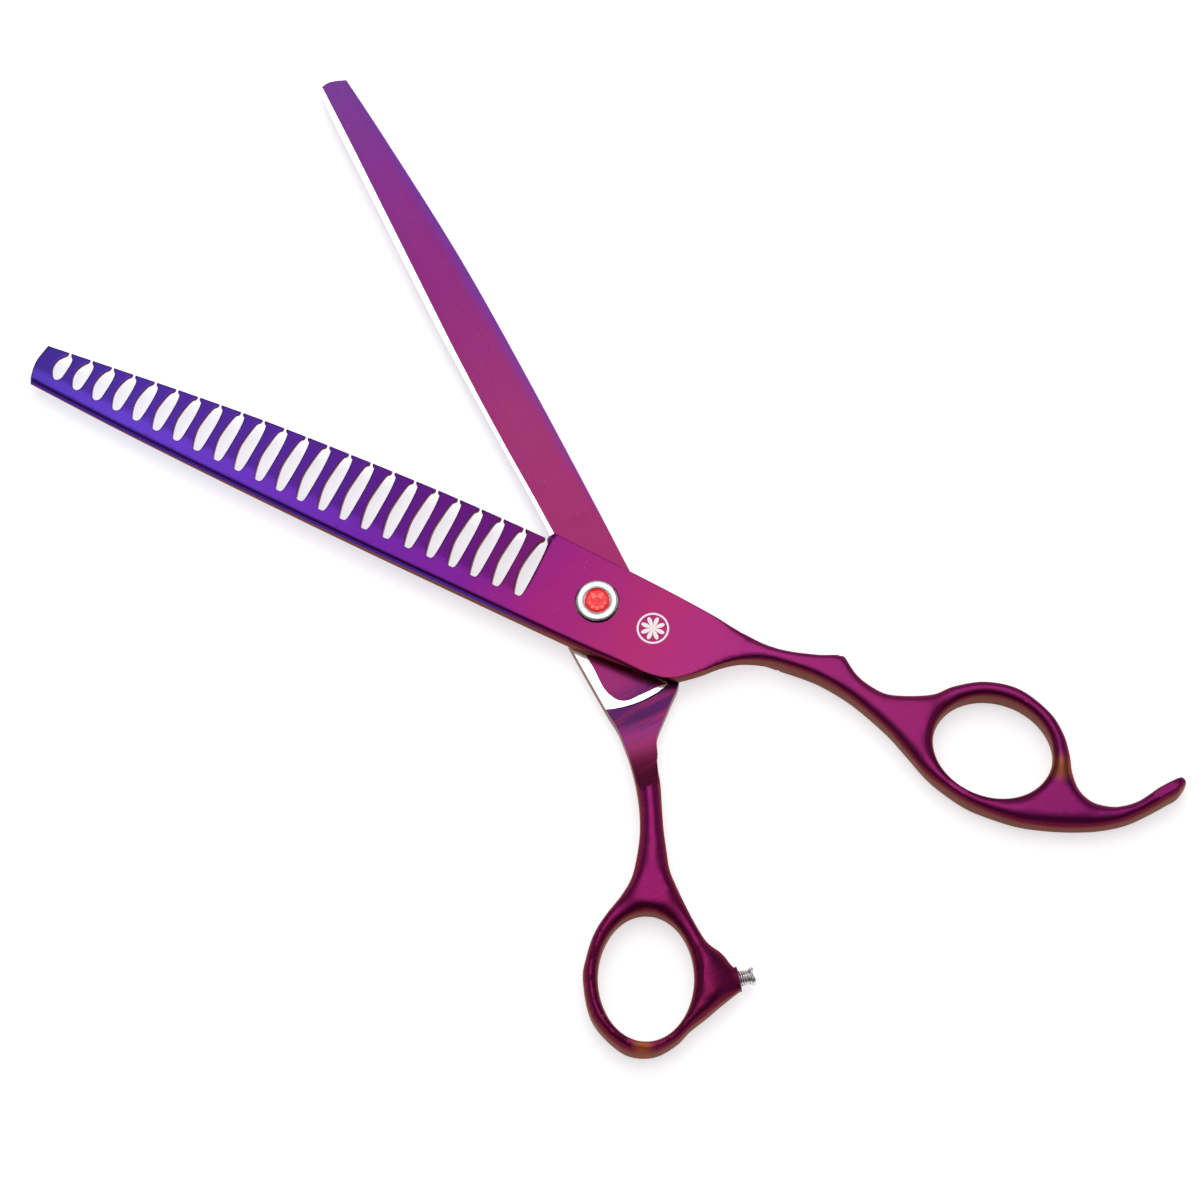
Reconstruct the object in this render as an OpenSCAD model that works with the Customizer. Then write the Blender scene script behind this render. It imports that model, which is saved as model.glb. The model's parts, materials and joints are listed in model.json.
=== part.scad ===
// Thinning shears: a toothed half with finger ring and finger rest, and a straight half with thumb ring.
// Each half is drawn shut, tips along +X with the pivot axis on Z, and then turned to its rest angle.
// Z = 0 is the table the shears lie on. The toothed half is the upper layer.

/* [Overall] */
// Pivot axis to the blade tips
blade_reach = 114; // [95:0.5:137]
// Pivot axis to the middle of the finger ring
handle_reach = 77; // [70:0.5:93]
// Angle between the two halves as they lie at rest
opening = 37; // [30:0.5:60]
// Direction in which the toothed half points at rest
comb_direction = 155.8; // [150:0.1:160]

/* [Blades] */
// Thickness of each blade plate at the pivot
plate_t = 3.5; // [2.9:0.05:4.2]
// Thickness of each blade at its tip
tip_t = 1.7; // [1.3:0.05:2.4]
// Free space between the two blade plates
plate_gap = 0.12; // [0.08:0.01:0.2]
// Width of the toothed blade at its root
comb_w = 17; // [15.4:0.1:19.4]
// Width of the straight blade at its root
plain_w = 11; // [9.5:0.1:13]
// Depth of the hollow ground in each inner face
hollow_depth = 0.2; // [0.1:0.01:0.3]
// Width of the bevel along each spine
spine_bevel = 0.8; // [0.5:0.05:1]

/* [Teeth] */
// Number of slots between the teeth
slots = 23; // [15:1:24]
// Distance between two slots at the tip
slot_pitch = 4.2; // [3.8:0.01:4.4]
// Growth of that distance from one slot to the next
slot_growth = 0.0135; // [0:0.0005:0.015]
// Width of a slot's mouth at the tooth tips
mouth_w = 0.56; // [0.4:0.02:0.8]
// Widest part of a slot, to the side towards the tip
slot_bulge = 1.7; // [1.3:0.05:1.9]
// Fall of the outer face for each millimetre towards the tooth tips
tooth_fall = 0.16; // [0.1:0.01:0.18]

/* [Handles] */
// Half length of the finger hole
finger_a = 11.2; // [9.4:0.1:13.4]
// Half width of the finger hole
finger_b = 9.3; // [7.8:0.1:11.2]
// Half length of the thumb hole
thumb_a = 12.1; // [10.1:0.1:14.5]
// Half width of the thumb hole
thumb_b = 8.7; // [7.3:0.1:10.4]
// Width of the metal around each hole
ring_wall = 2.8; // [2.4:0.05:3.4]
// Length of the finger rest beyond the finger hole
tang_reach = 23.4; // [19.5:0.1:28]

/* [Pivot] */
// Radius of the pivot screw's head
head_r = 3.9; // [3.3:0.05:4.4]
// How far the head stands above the toothed blade
head_proud = 0.9; // [0.5:0.05:1.2]
// Radius of the bolt's shaft in the bush
shaft_r = 2; // [1.8:0.05:2.2]
// Radius of the red stone
gem_r = 2.35; // [1.9:0.05:2.6]
// Radius of the tension nut
nut_r = 4.4; // [3.7:0.05:5.2]

/* [Stop stud] */
// Radius of the stud's thread
stud_r = 1.5; // [1.3:0.05:1.7]
// Length of the stud outside the thumb ring's boss
stud_out = 2.9; // [2.4:0.1:3.5]

/* [Hidden] */
$fn = 96;
steps = 5;                                   // curve pieces between two named points
running = 0.04;                              // radial clearance of a running fit
nut_proud = 0.3;                             // the nut stands this far below the lower plate
plain_z0 = nut_proud;
plain_z1 = plain_z0 + plate_t;
comb_z0 = plain_z1 + plate_gap;
comb_z1 = comb_z0 + plate_t;
handle_t = comb_z1;                          // both handles are as thick as the two layers together
hk = handle_reach / 77;                      // stretch of the handles from their first length
bk = blade_reach / 114;                      // stretch of the blades' length
wk = comb_w / 17;                            // stretch of the toothed plate's width
pk = plain_w / 11;                           // stretch of the straight plate's width
plain_direction = comb_direction - opening;
bevel_slope = 1.15;                          // fall of the spine bevel for its width
ride_r = 19.6;                               // outer radius of the polished ride area behind the pivot
relief = 0.15;                               // step down just outside the ride area
ramp_r0 = 23;                                // inside this radius each handle stays in its own layer
ramp_r1 = 36.3;                              // beyond this radius it has its full thickness

// pivot stack, from the top down
washer_t = 0.2;
counterbore_r = head_r + 0.2;
head_floor = comb_z1 - 1.2;
head_z0 = head_floor + washer_t;
head_z1 = comb_z1 + head_proud;
neck_r = shaft_r + 0.5;
flats = 2 * neck_r - 0.9;
taper_x = 14;                                // the blades thin down from here to their tips
slip_recess = 0.3;
slip_r = 6.2;
nut_t = 1;
spring_t = 0.45;
thrust_t = 0.3;
thread_r = 1.5;
nut_bore_r = nut_r + 0.5;
thrust_z0 = nut_t + spring_t;
nut_floor = thrust_z0 + thrust_t + 0.05;
bush_r = shaft_r + 0.9;
bush_z1 = plain_z1 - slip_recess;

// ---- helpers ----

// one point of a Catmull-Rom curve through p[i-1], p[i], p[i+1], p[i+2]
function knot(p, i) = p[max(0, min(len(p) - 1, i))];
function spline_point(p, i, t) =
    let (a = knot(p, i - 1), b = knot(p, i), c = knot(p, i + 1), d = knot(p, i + 2))
    0.5 * ((2 * b) + (c - a) * t + (2 * a - 5 * b + 4 * c - d) * t * t
           + (3 * b - a - 3 * c + d) * t * t * t);
// smooth curve through every named point
function smooth(p, n = steps) =
    concat([for (i = [0 : len(p) - 2], k = [0 : n - 1]) spline_point(p, i, k / n)], [p[len(p) - 1]]);
// point on an ellipse with half axes a and b about c, turned by tilt
function on_ellipse(c, a, b, tilt, angle) =
    c + [a * cos(angle) * cos(tilt) - b * sin(angle) * sin(tilt),
         a * cos(angle) * sin(tilt) + b * sin(angle) * cos(tilt)];
function ellipse(c, a, b, tilt) = [for (i = [0 : 71]) on_ellipse(c, a, b, tilt, i * 5)];
function mix(a, b, t) = a + (b - a) * t;

module comb_place() rotate(comb_direction) children();
module plain_place() rotate(plain_direction) children();

// rounded forging: the outline drawn in slices, each set in further towards the top and bottom
module forged(z0, z1, round_r = 1.5) {
    t = z1 - z0;
    insets = [[0, 0.62], [0.05, 0.36], [0.12, 0.17], [0.22, 0.05]];
    for (row = insets)
        translate([0, 0, z0 + row[0] * t])
            linear_extrude(t * (1 - 2 * row[0])) offset(delta = -row[1] * round_r) children();
    translate([0, 0, z0 + 0.3 * t]) linear_extrude(t * 0.4) children();
}

// wedge of metal that stays above (side = 1) or below (side = -1) a plane rising from root to tip
module taper(z_root, z_tip, side) {
    translate([0, 60, 0]) rotate([90, 0, 0]) linear_extrude(120)
        polygon([[taper_x, z_root], [blade_reach, z_tip], [blade_reach + 5, z_tip],
                 [blade_reach + 5, z_root + side * 9], [taper_x, z_root + side * 9]]);
}

// ---- toothed half ----

tooth_tip = [blade_reach - 0.3, -4.6];
tooth_root = [13.9, -8 * wk];
comb_corner = [12.6, -8.9 * wk];
tooth_line = smooth([tooth_root, [blade_reach * 0.19, -8.2 * wk], [blade_reach * 0.34, -8.4 * wk],
                     [blade_reach * 0.58, -7.9 * wk], [blade_reach * 0.74, -6.9 * wk],
                     [blade_reach * 0.89, -5.6 * wk], tooth_tip]);
spine_tip = [blade_reach - 0.5, 3.4];
comb_spine = [spine_tip, [blade_reach * 0.8, 5.1 * wk], [blade_reach * 0.5, 7 * wk], [25, 8.3 * wk],
              [0, 9.1 * wk], [-11, 9 * wk], [-16.8, 8.4 * wk]];

function z_top(x) = comb_z1 - (comb_z1 - comb_z0 - tip_t) * max(0, x - taper_x) / (blade_reach - taper_x);

module comb_plate_2d() {
    tip_curve = smooth([tooth_tip, [blade_reach + 0.3, -1.1], [blade_reach, 1.7], spine_tip]);
    neck_low = smooth([[-16.8, 8.4 * wk], [-19.2, 7.3], [-22.6, 4.5], [-25.3, 1.7], [-28.5, -0.8],
                       [-33, -2.9]]);
    neck_high = smooth([[-34, -5.4], [-30.6, -5.5], [-25.6, -5.7], [-20, -6.4 * wk], [-11.6, -7.2 * wk],
                        [0, -8.05 * wk],
                        comb_corner]);
    polygon(concat(tooth_line, tip_curve, smooth(comb_spine), neck_low, neck_high));
}

// slot profile from its mouth at y = 0 down to its round bottom at y = d
module slot_2d(d, bulge) {
    m = mouth_w / 2;
    polygon(smooth([[-m, -0.9], [-m, 0.35], [-0.82, 0.95], [-1, 0.32 * d], [-0.88, 0.65 * d],
                    [-0.62, d - 0.6], [0.2, d], [1.02, d - 0.7], [bulge, 0.62 * d],
                    [bulge - 0.2, 0.36 * d], [0.9, 1.25], [m, 0.45], [m, -0.9]], 4));
}

// the toothed blade is ground thinner from the slots' bottoms towards the tooth tips
module tooth_grind() {
    start = [tooth_root[0], 4.7 * wk];
    run = [blade_reach + 1, 1] - start;
    climb = z_top(blade_reach) - z_top(start[0]);
    translate([start[0], start[1], z_top(start[0])])
        rotate([0, 0, atan2(run[1], run[0])]) rotate([0, -atan2(climb, norm(run)), 0])
        rotate([90, 0, 90]) linear_extrude(norm(run) + 5)
        polygon([[0, 0], [-25, -25 * tooth_fall], [-25, 6], [0, 6]]);
}

// height of a smooth line at x, found between its two nearest points
function line_y(p, x, i = 0) =
    i >= len(p) - 2 || (p[i][0] - x) * (p[i + 1][0] - x) <= 0
    ? mix(p[i][1], p[i + 1][1], (x - p[i][0]) / (p[i + 1][0] - p[i][0]))
    : line_y(p, x, i + 1);

module comb_slots_2d() {
    back = smooth(comb_spine);
    for (i = [0 : slots - 1]) {
        x = blade_reach - 4.7 - bk * (i * slot_pitch + slot_growth * i * (i - 1) / 2);
        mouth_y = line_y(tooth_line, max(x, tooth_root[0]));
        margin = mix(3.9, 2.6, min(1, (x - tooth_root[0]) / 45));
        depth = line_y(back, x) - margin - mouth_y;
        if (x > tooth_root[0] - 1)
            translate([x, mouth_y]) slot_2d(depth, x < tooth_root[0] + 3 ? slot_bulge + 0.2 : slot_bulge);
    }
}

finger_c = [-handle_reach, -4.6 * hk];
// point beside the finger hole, a given width of metal away from it
function finger_rim(angle, wall) =
    on_ellipse(finger_c, finger_a + wall * ring_wall / 2.8, finger_b + wall * ring_wall / 2.8, 0, angle);
// point of the finger rest, from the hole's far end
function tang(dx, dy) = finger_c + [-finger_a + dx * tang_reach / 23.4, dy];

module comb_outline_2d() {
    neck_high = smooth([[-26, -5.6], [-31, -5.5], [-35, -6], [-38.5 * hk, -7], [-41.5 * hk, -8], [-44.6 * hk, -9.5]]);
    ring_high = smooth([[-45.6 * hk, -9.4], [-48.8 * hk, -7.2], [-52.5 * hk, -6.2], [-56.2 * hk, -6.3],
                        finger_rim(-20, 4.2), finger_rim(-39, 3.2), finger_rim(-64, 2.95),
                        finger_rim(-90, 2.9), finger_rim(-118, 2.65), finger_rim(-139, 2.75),
                        finger_rim(-158, 3.1), finger_rim(-173, 4), tang(-6.2, 0.8), tang(-9, 1.9),
                        tang(-11.6, 1.7), tang(-14.2, 0.7), tang(-16.9, -1.6), tang(-19.3, -5.4),
                        tang(-21.4, -8.1)]);
    tang_tip = smooth([tang(-21.4, -8.1), tang(-22.4, -9), tang(-23.5, -8.3), tang(-23.1, -6)]);
    ring_low = smooth([tang(-23.1, -6), tang(-20.4, -2), tang(-16.9, 2.3), tang(-13, 5.4),
                       tang(-8.7, 7.7), finger_rim(145, 7.4), finger_rim(128, 4.8), finger_rim(110, 3.1),
                       finger_rim(90, 2.4), finger_rim(70, 2.3), finger_rim(51, 3.1), finger_rim(31, 4.9),
                       finger_rim(17, 8), [-53.2 * hk, -1.5], [-48.4 * hk, -2.8], [-43.2 * hk, -3.5],
                       [-38.5 * hk, -3.4], [-33, -2.7], [-28, -0.9]]);
    difference() {
        polygon(concat(neck_high, ring_high, tang_tip, ring_low));
        polygon(ellipse(finger_c, finger_a, finger_b, 0));
    }
}

// revolved cut that keeps a handle out of the other layer near the pivot, with a concave ramp outside it;
// side is 1 when the metal above the face is cut away and -1 for the metal below it
module ramp_cut(z_face, side, rise) {
    wheel_r = (pow(ramp_r1 - ramp_r0, 2) + pow(rise + relief, 2)) / (2 * (rise + relief));
    ramp = [for (i = [0 : 10]) let (r = mix(ramp_r0, ramp_r1, i / 10))
            [r, z_face + side * (wheel_r - sqrt(pow(wheel_r, 2) - pow(r - ramp_r0, 2)) - relief)]];
    rotate_extrude() polygon(concat(
        [[0, z_face + side * 9], [0, z_face], [ride_r, z_face], [ride_r + relief, z_face - side * relief]],
        ramp, [[ramp_r1 + 0.01, z_face + side * 9]]));
}

// flat bevel along a spine: cut away above a sloping plane beside each stretch between two points
module spine_cut(line, z_side, side) {
    for (i = [0 : len(line) - 2]) {
        run = line[i + 1] - line[i];
        climb = z_side[i + 1] - z_side[i];
        translate([line[i][0], line[i][1], z_side[i]])
            rotate([0, 0, atan2(run[1], run[0])]) rotate([0, -atan2(climb, norm(run)), 0])
            translate([-0.4, 0, 0]) rotate([90, 0, 90]) linear_extrude(norm(run) + 0.8)
            polygon([[-3 * spine_bevel * side, 2 * spine_bevel * bevel_slope],
                     [3 * spine_bevel * side, -4 * spine_bevel * bevel_slope],
                     [3 * spine_bevel * side, 6]]);
    }
}

module double_d(r, width, h) {
    intersection() {
        cylinder(r = r, h = h);
        translate([-r - 1, -width / 2, -1]) cube([2 * r + 2, width, h + 2]);
    }
}

module comb_blade() {
    color("#7a2a9a") comb_place() difference() {
        union() {
            difference() {
                translate([0, 0, comb_z0]) linear_extrude(plate_t) difference() {
                    comb_plate_2d();
                    comb_slots_2d();
                }
                taper(comb_z1, comb_z0 + tip_t, 1);
                tooth_grind();
                hollow(comb_z0, -1, 0.8);
                spine_cut(comb_spine, [for (p = comb_spine) z_top(p[0])], -1);
            }
            difference() {
                intersection() {
                    linear_extrude(handle_t) comb_outline_2d();
                    cylinder(r = ramp_r1, h = handle_t);
                }
                ramp_cut(comb_z0, -1, comb_z0);
            }
            difference() {
                forged(0, handle_t) comb_outline_2d();
                translate([0, 0, -1]) cylinder(r = ramp_r1 - 0.2, h = handle_t + 2);
            }
        }
        translate([0, 0, head_floor]) cylinder(r = counterbore_r, h = 3);
        translate([0, 0, comb_z0 - 1]) double_d(neck_r, flats, 4);
    }
}

// hollow ground along the blade by a large wheel; side is 1 for a face that looks up
module hollow(z_face, side, y_mid) {
    wheel_r = 60;
    translate([16, y_mid, z_face + side * (wheel_r - hollow_depth)])
        rotate([0, 90, 0]) cylinder(r = wheel_r, h = blade_reach + 5, $fn = 360);
}

// ---- straight half ----

edge_tip = [blade_reach + 1, -4.2];
plain_corner = [blade_reach, -8.9];

module plain_plate_2d() {
    edge = smooth([edge_tip, [blade_reach - 3.2, -3.1], [blade_reach * 0.88, -2.4], [blade_reach * 0.76, -1.6],
                   [blade_reach * 0.54, -0.2], [blade_reach * 0.32, 0.4], [18, 0.8 * pk], [5, 2.3 * pk],
                   [-3.4, 7.9 * pk]]);
    back = smooth([[-3.4, 7.9 * pk], [-17.4, 8 * pk], [-22.3, 7.9], [-27, 8.6]]);
    side = smooth([[-30, 3.9], [-27.3, 2.6], [-25.7, 1], [-23.1, -2.2], [-19.6, -6.3 * pk]]);
    spine = smooth([[-19.6, -6.3 * pk], [-15, -8 * pk], [4, -8.7 * pk], [20, -9.4 * pk],
                    [blade_reach * 0.42, -10.3 * pk], [blade_reach * 0.64, -10.6 * pk],
                    [blade_reach * 0.87, -9.7 * pk], plain_corner]);
    tip = smooth([plain_corner, plain_corner + [0.75, 1.6], plain_corner + [1.2, 3.2], edge_tip]);
    polygon(concat(edge, back, side, spine, tip));
}

thumb_c = [-66 * hk, 26.2 * hk];
thumb_tilt = -29;
// point beside the thumb hole, a given width of metal away from it
function thumb_rim(angle, wall) =
    on_ellipse(thumb_c, thumb_a + wall * ring_wall / 2.8, thumb_b + wall * ring_wall / 2.8, thumb_tilt, angle);
stud_dir = -106;
// the boss stands out from the thumb ring, with a flat end face across the stud
stud_base = thumb_c + [-8.1 * thumb_a / 12.1, -6 - thumb_b];
stud_out_dir = [cos(stud_dir), sin(stud_dir)];
boss_across = [-sin(stud_dir), cos(stud_dir)];
boss_near = stud_base + boss_across * 2.3;
boss_far = stud_base - boss_across * 2.3;

module plain_outline_2d() {
    outer = smooth([[-22.3, 7.9], [-25.6, 8.3], [-30.8, 9.5], [-35.6 * hk, 11.1], [-39.6 * hk, 12.9],
                    [-43.5 * hk, 15.3], thumb_rim(9, 7.3), thumb_rim(20, 4.3), thumb_rim(39, 2.9),
                    thumb_rim(57, 2.6), thumb_rim(75, 2.5), thumb_rim(92, 2.7), thumb_rim(122, 2.75),
                    thumb_rim(157, 2.5), thumb_rim(-175, 2.3), thumb_rim(-150, 2), thumb_rim(-132, 2.1),
                    thumb_rim(-117, 3.6), thumb_rim(-107, 5.2), boss_far - stud_out_dir * 0.5, boss_far]);
    inner = smooth([boss_near, boss_near - stud_out_dir * 0.6, thumb_rim(-75, 5.5), thumb_rim(-65, 3.5),
                    thumb_rim(-50, 3.1), thumb_rim(-35, 4), thumb_rim(-23, 5.9), [-50.5 * hk, 12.7],
                    [-46.9 * hk, 11.4], [-43.1 * hk, 9.9], [-38.8 * hk, 7.9], [-35.4 * hk, 6.3],
                    [-32.4, 5.2], [-29, 3.6], [-27.3, 2.6], [-25.7, 1], [-23.1, -2.2]]);
    difference() {
        polygon(concat(outer, inner));
        polygon(ellipse(thumb_c, thumb_a, thumb_b, thumb_tilt));
    }
}

stud_len_in = 4;
stud_z = handle_t / 2;

module along_stud(from_base) {
    translate([stud_base[0], stud_base[1], stud_z])
        rotate([0, 0, stud_dir]) rotate([0, 90, 0]) translate([0, 0, from_base]) children();
}

module plain_blade() {
    color("#a02a80") plain_place() difference() {
        union() {
            difference() {
                translate([0, 0, plain_z0]) linear_extrude(plate_t) plain_plate_2d();
                taper(plain_z0, plain_z1 - tip_t, -1);
                hollow(plain_z1, 1, -5.5);
            }
            difference() {
                intersection() {
                    linear_extrude(handle_t) plain_outline_2d();
                    cylinder(r = ramp_r1, h = handle_t);
                }
                ramp_cut(plain_z1, 1, handle_t - plain_z1);
                translate([0, 0, -1]) cylinder(r = ramp_r0, h = plain_z0 + 1);
            }
            difference() {
                forged(0, handle_t) plain_outline_2d();
                translate([0, 0, -1]) cylinder(r = ramp_r1 - 0.2, h = handle_t + 2);
            }
        }
        translate([0, 0, -1]) cylinder(r = nut_bore_r, h = nut_floor + 1);
        translate([0, 0, -1]) cylinder(r = bush_r, h = 9);
        translate([0, 0, bush_z1]) cylinder(r = slip_r, h = 3);
        along_stud(-stud_len_in - 0.3) cylinder(r = stud_r + 0.02, h = stud_len_in + 1);
    }
}

// ---- pivot ----

module pivot_bolt() {
    color("#d8dade") comb_place() difference() {
        union() {
            translate([0, 0, head_z0]) rotate_extrude()
                polygon([[0, 0], [head_r - 0.1, 0], [head_r, 0.1], [head_r, head_z1 - head_z0 - 0.55],
                         [head_r - 0.22, head_z1 - head_z0 - 0.15], [head_r - 0.6, head_z1 - head_z0],
                         [0, head_z1 - head_z0]]);
            translate([0, 0, comb_z0]) double_d(neck_r - 0.02, flats - 0.04, head_z0 - comb_z0);
            translate([0, 0, nut_floor]) cylinder(r = shaft_r, h = comb_z0 - nut_floor);
            translate([0, 0, thrust_z0]) double_d(shaft_r, 2 * shaft_r - 0.7, nut_floor - thrust_z0);
            cylinder(r = thread_r, h = thrust_z0);
        }
        translate([0, 0, head_z1 - 0.9]) cylinder(r = gem_r + 0.03, h = 2);
    }
}

module red_gem() {
    color("#e01828") comb_place() translate([0, 0, head_z1 - 0.9]) {
        cylinder(r = gem_r, h = 0.45);
        translate([0, 0, 0.45]) cylinder(r1 = gem_r - 0.03, r2 = gem_r * 0.55, h = 0.4, $fn = 12);
    }
}

module head_washer() {
    color("#e8e4da") comb_place() translate([0, 0, head_floor]) difference() {
        cylinder(r = counterbore_r - 0.05, h = washer_t);
        translate([0, 0, -1]) cylinder(r = neck_r, h = 3);
    }
}

module pivot_bush() {
    color("#e8e4da") plain_place() translate([0, 0, nut_floor]) difference() {
        cylinder(r = bush_r, h = bush_z1 - nut_floor);
        translate([0, 0, -1]) cylinder(r = shaft_r + running, h = 9);
    }
}

module blade_washer() {
    color("#e8e4da") plain_place() translate([0, 0, bush_z1]) difference() {
        cylinder(r = slip_r - 0.1, h = slip_recess + plate_gap - 0.03);
        translate([0, 0, -1]) cylinder(r = shaft_r + running, h = 3);
    }
}

module thrust_washer() {
    color("#b8bcc2") comb_place() translate([0, 0, thrust_z0]) difference() {
        cylinder(r = nut_r, h = thrust_t);
        translate([0, 0, -1]) double_d(shaft_r + 0.02, 2 * shaft_r - 0.66, 3);
    }
}

module spring_washer() {
    color("#a8acb4") comb_place() translate([0, 0, nut_t]) rotate_extrude()
        polygon([[thread_r + 0.1, spring_t - 0.25], [nut_r - 0.3, 0], [nut_r - 0.3, 0.25],
                 [thread_r + 0.1, spring_t]]);
}

module tension_nut() {
    color("#d8dade") comb_place() difference() {
        rotate_extrude() polygon([[thread_r, 0], [nut_r - 0.25, 0], [nut_r, 0.25], [nut_r, nut_t],
                                  [thread_r, nut_t]]);
        translate([-nut_r - 1, -0.45, -1]) cube([2 * nut_r + 2, 0.9, 1.45]);
    }
}

// ---- stop stud ----

module stop_stud() {
    ridges = 4;
    ridge_w = (stud_out - 1.2) / ridges;
    color("#cfd2d6") plain_place() along_stud(-stud_len_in) {
        cylinder(r = stud_r, h = stud_len_in + 0.02);
        translate([0, 0, stud_len_in]) rotate_extrude() polygon(concat(
            [[0, 0], [stud_r + 0.15, 0], [stud_r + 0.15, 0.3]],
            [for (i = [0 : ridges - 1], k = [0, 1])
                [stud_r - (k == 0 ? 0.22 : 0.02), 0.3 + (i + k * 0.5 + 0.25) * ridge_w]],
            [[stud_r - 0.1, stud_out - 0.8], [stud_r + 0.4, stud_out - 0.45], [stud_r + 0.4, stud_out - 0.2],
             [stud_r + 0.1, stud_out], [0, stud_out]]));
    }
}

comb_blade();
pivot_bolt();
red_gem();
head_washer();
plain_blade();
pivot_bush();
blade_washer();
thrust_washer();
spring_washer();
tension_nut();
stop_stud();
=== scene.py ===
"""Looks for a pair of thinning shears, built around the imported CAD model.

The two forged halves are rebuilt as smooth steel. Each outline is read from its CAD node with a level cut, in
the half's own frame: blade tips along +x, pivot axis on z, millimetres. A half is then two height fields over
that outline, an outer face and an inner face, bored for the pivot and turned to its place.
"""

import json
import math

import bpy
import numpy as np
from mathutils import Matrix, Vector
from mathutils.geometry import delaunay_2d_cdt


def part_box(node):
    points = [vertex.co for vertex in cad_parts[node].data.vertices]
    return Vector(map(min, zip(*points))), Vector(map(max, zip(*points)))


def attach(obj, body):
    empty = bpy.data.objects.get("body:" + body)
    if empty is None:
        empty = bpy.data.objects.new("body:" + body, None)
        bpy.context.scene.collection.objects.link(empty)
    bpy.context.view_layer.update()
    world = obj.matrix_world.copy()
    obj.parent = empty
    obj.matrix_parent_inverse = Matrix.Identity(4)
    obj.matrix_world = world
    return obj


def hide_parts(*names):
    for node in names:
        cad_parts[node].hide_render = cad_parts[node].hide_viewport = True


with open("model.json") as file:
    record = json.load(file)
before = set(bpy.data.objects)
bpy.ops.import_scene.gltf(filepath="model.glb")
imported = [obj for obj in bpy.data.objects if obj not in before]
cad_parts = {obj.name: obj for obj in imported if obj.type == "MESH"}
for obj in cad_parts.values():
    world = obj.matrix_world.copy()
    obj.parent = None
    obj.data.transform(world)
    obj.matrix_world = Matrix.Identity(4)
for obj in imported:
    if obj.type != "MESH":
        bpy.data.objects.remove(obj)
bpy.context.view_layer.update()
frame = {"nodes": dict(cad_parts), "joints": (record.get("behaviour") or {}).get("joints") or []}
NODES = frame["nodes"]
JOINTS = {j["name"]: j for j in frame["joints"]}

# ---- driving dimensions, in millimetres and degrees ----

MM = 0.001
COMB_TURN = 155.8                       # where the toothed half points
PLAIN_TURN = 118.8                      # where the straight half points
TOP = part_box("comb_blade")[1].z / MM    # the shears lie from 0 up to here
WAIST = TOP / 2                         # middle level of the forged handles
PLATE_T = 3.5                           # thickness of a blade plate at the pivot
PLATE_GAP = 0.12
TIP_T = 1.7                             # thickness of a blade plate at its tip
REACH = 114.0                           # pivot axis to the blade tips
TAPER_X = 14.0                          # the plates thin down from here
RIDE_R = 19.6                           # polished ride area behind the pivot
RELIEF = 0.15                           # step down, and its width, at the ride area's end
RAMP_R0 = 23.0                          # a concave ramp climbs from here ...
RAMP_R1 = 36.3                          # ... to the handle's full thickness
RAMP_STEP = 0.9                         # the ramp ends this far below the handle's top
COMB_IN = TOP - PLATE_T                 # level of the toothed half's inner face
PLAIN_IN = COMB_IN - PLATE_GAP
PLAIN_OUT = PLAIN_IN - PLATE_T
COMB_CUT = COMB_IN + 0.38               # levels at which the CAD nodes' outlines are read
PLAIN_CUT = PLAIN_OUT + 2.5
COMB_SPACING = 0.55                     # spacing of the points along each outline
PLAIN_SPACING = 0.6
HANDLE_X = -10.0                        # behind this x the inner face is the handle's
SPINE_BEVEL = 0.8                       # width of the rounded bevel along a spine
BEVEL_SLOPE = 1.15
BEVEL_X = (-18, -6)                     # the bevel widens from nothing between these x
HOLLOW = 0.2                            # depth of the hollow grind
WHEEL_R = 60.0                          # radius of the wheel that ground it
HOLLOW_X = (15, 18)                     # it sets in between these x
COMB_HOLLOW_Y = 0.8                     # its deepest line on each half
PLAIN_HOLLOW_Y = -5.5
EDGE_ROUND = 0.13
HONE_W = 1.3                            # width of the straight blade's ground edge
HONE_SHARE = 0.12                       # share of the plate's thickness left at that edge
TOOTH_ROOT_X = 13.9
TOOTH_FALL = 0.16                       # the outer face falls this much per millimetre towards the teeth
GRIND_EASE = 1.6                        # the fall sets in over this width
GRIND_Y = (4.7, 1.0)                    # y at which it sets in, at the tooth root and at the tip
WAIST_BAND = 1.0                        # half height of the upright band round a forged handle
FORGED = (20, 40)                       # a plate turns into the forged handle between these radii
OUTER_DROP = (23, 30)                   # the straight half's outer face drops to the table between these
COMB_POWERS = (2.6, 1.5, 1.2)           # how flat the section's top is on the shank, ring and finger rest
COMB_RING = (52, 68)                    # radii between which the shank turns into the ring ...
COMB_REST = (88, 96)                    # ... and the ring into the finger rest
PLAIN_POWERS = (1.1, 0.95)              # the same for the straight half's shank and thumb ring
PLAIN_RING = (50, 62)
BOSS_SLIM = 0.38                        # the section is this share lower at the boss's end ...
BOSS_X = (-0.5, 6)                      # ... and recovers between these distances from it
HEAD_GAP = 0.2                          # room round the screw's head
SLIP_GAP = 0.1                          # room round the slip washer
NUT_GAP = 0.5                           # room round the tension nut
NECK_R = 2.5                            # hole for the screw's neck ...
NECK_HALF = 2.05                        # ... and half its width between the flats
BOSS_HALF = 2.25                        # half width of the boss's end face
STUD_HOLE_R = 1.52
STUD_HOLE_DEEP = 4.3
NET_GRID = 1.1                          # spacing of the net of triangles over a half
OFFSETS = (0.05, 0.13, 0.3, 0.5, 0.8, 1.2, 1.7)     # rings of net points, this far in from the outline
KEY_LIGHT = 1.6                         # brightness of the main light in a mirror
HALO_LIGHT = 0.55                       # brightness of the large soft light behind it


def node_radius(node):
    lo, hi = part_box(node)
    return (hi.x - lo.x) / 2 / MM


# ---- outlines from the CAD nodes ----


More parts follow.
